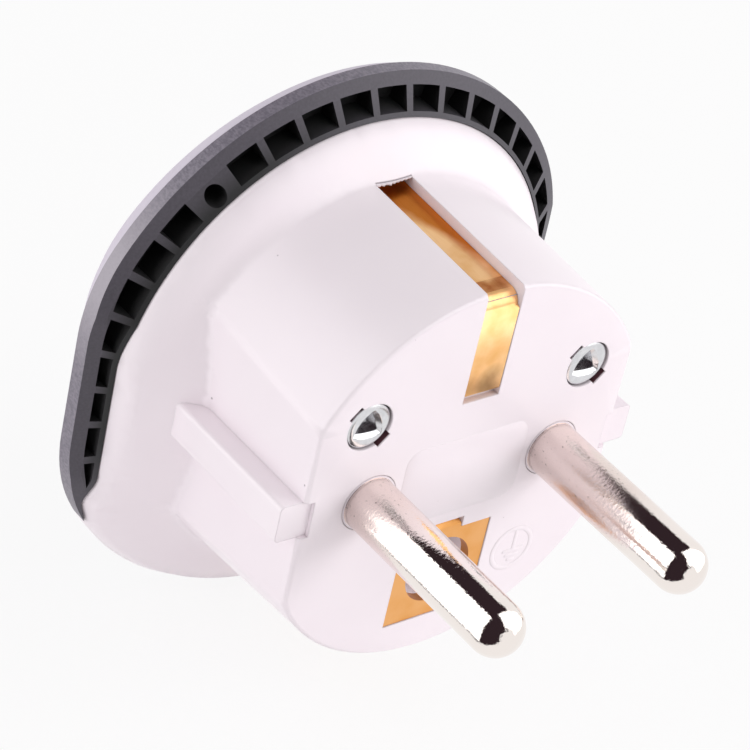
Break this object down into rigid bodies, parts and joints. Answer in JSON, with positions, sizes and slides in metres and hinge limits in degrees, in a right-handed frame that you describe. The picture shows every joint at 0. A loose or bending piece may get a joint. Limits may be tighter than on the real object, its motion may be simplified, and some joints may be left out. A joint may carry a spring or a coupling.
{
  "type": "plug adapter",
  "caption": "Round earthed travel plug adapter: long round pins and side earth clips on a drafted plug body, pocketed trim ring and a front cover with holes for several pin shapes.",
  "frame": {"origin": "middle of the pin face, halfway between the two pins", "axes": "+Y out along the pins, +Z towards the visible earth clip, +X towards the live pin"},
  "size_m": [0.0482, 0.0436, 0.0509],
  "materials": {
    "white_plastic": "smooth white moulding with a soft sheen",
    "trim_plastic": "dark grey moulding, spark-eroded outer wall",
    "plated_pin": "bright nickel plate over brass",
    "spring_brass": "rolled strip, bright with faint rolling lines",
    "zinc_steel": "bright zinc plate"
  },
  "bodies": {
    "root": {"rear_housing": "white_plastic", "trim_ring": "trim_plastic", "front_cover": "white_plastic", "live_pin": "plated_pin", "neutral_pin": "plated_pin", "live_contact": "spring_brass", "neutral_contact": "spring_brass", "upper_earth_clip": "spring_brass", "lower_earth_clip": "spring_brass", "earth_plate": "spring_brass", "earth_bridge": "spring_brass", "earth_contact": "spring_brass", "earth_rivet": "spring_brass", "housing_screws": "zinc_steel"}
  },
  "joints": []
}
